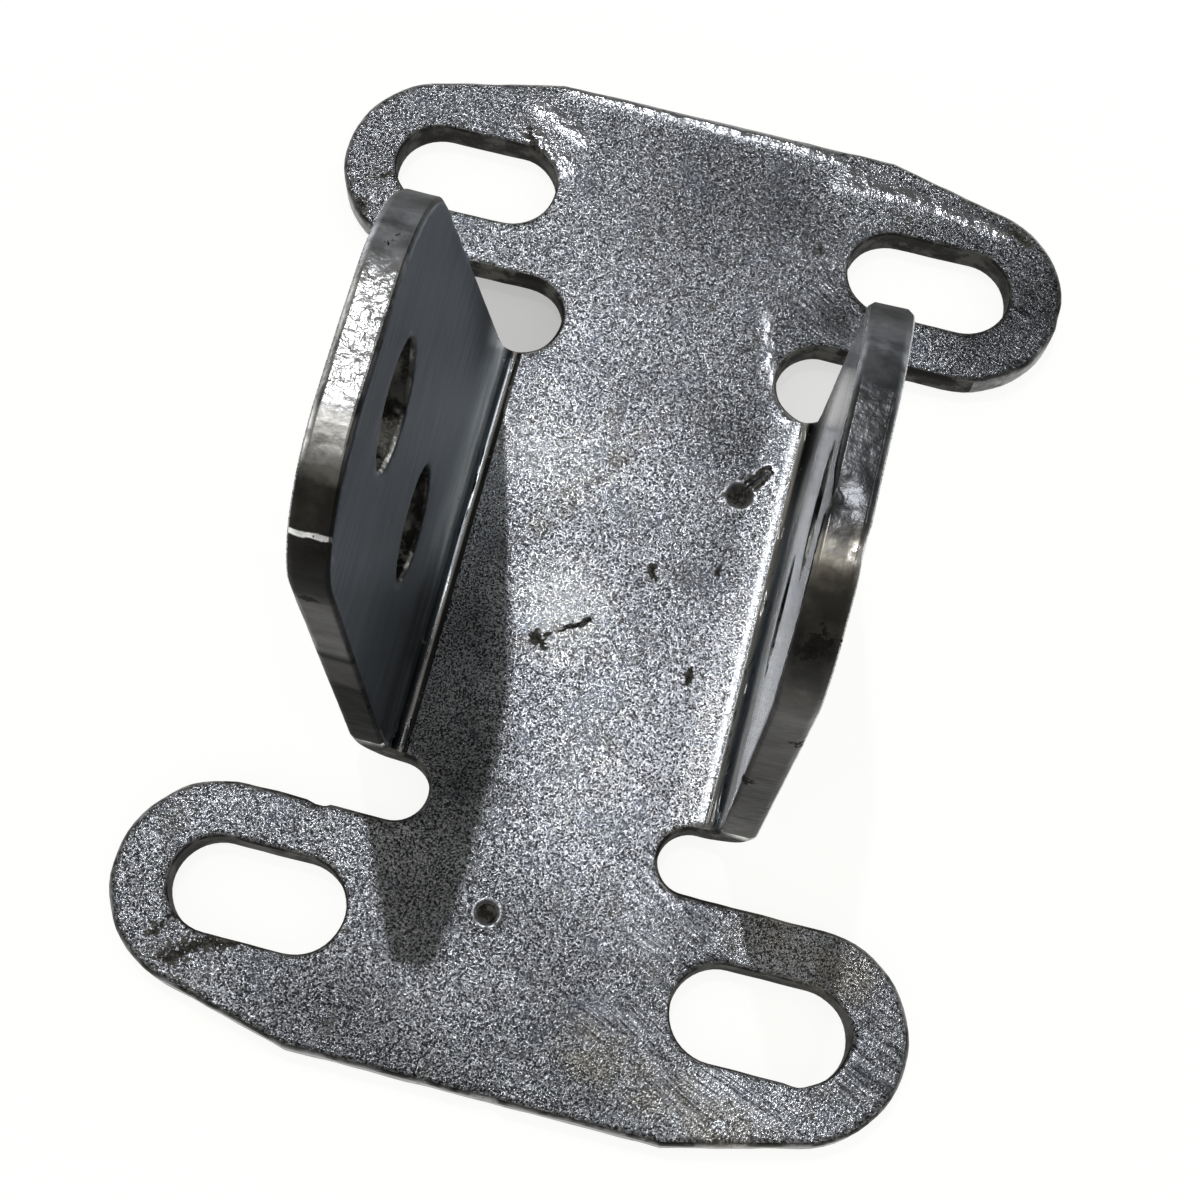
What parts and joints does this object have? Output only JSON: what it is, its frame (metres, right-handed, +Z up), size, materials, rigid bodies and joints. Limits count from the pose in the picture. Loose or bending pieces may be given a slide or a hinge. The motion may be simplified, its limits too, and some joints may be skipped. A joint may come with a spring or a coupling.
{
  "type": "spring hanger bracket",
  "caption": "Folded steel spring hanger bracket: slotted base plate with eared ends and upright flanges drilled in line for a spring bolt.",
  "frame": {"origin": "centre of the base plate's underside, midway between the slots", "axes": "+Z up from the base plate along the flanges, +X across the flanges along the bolt holes, +Y along the base plate towards the flanges' slanting front edges"},
  "size_m": [0.1158, 0.158, 0.102],
  "materials": {
    "galvanised_sheet": "hot-dip galvanised, grainy and dull grey with scuffs"
  },
  "bodies": {
    "root": {"bracket": "galvanised_sheet"}
  },
  "joints": []
}
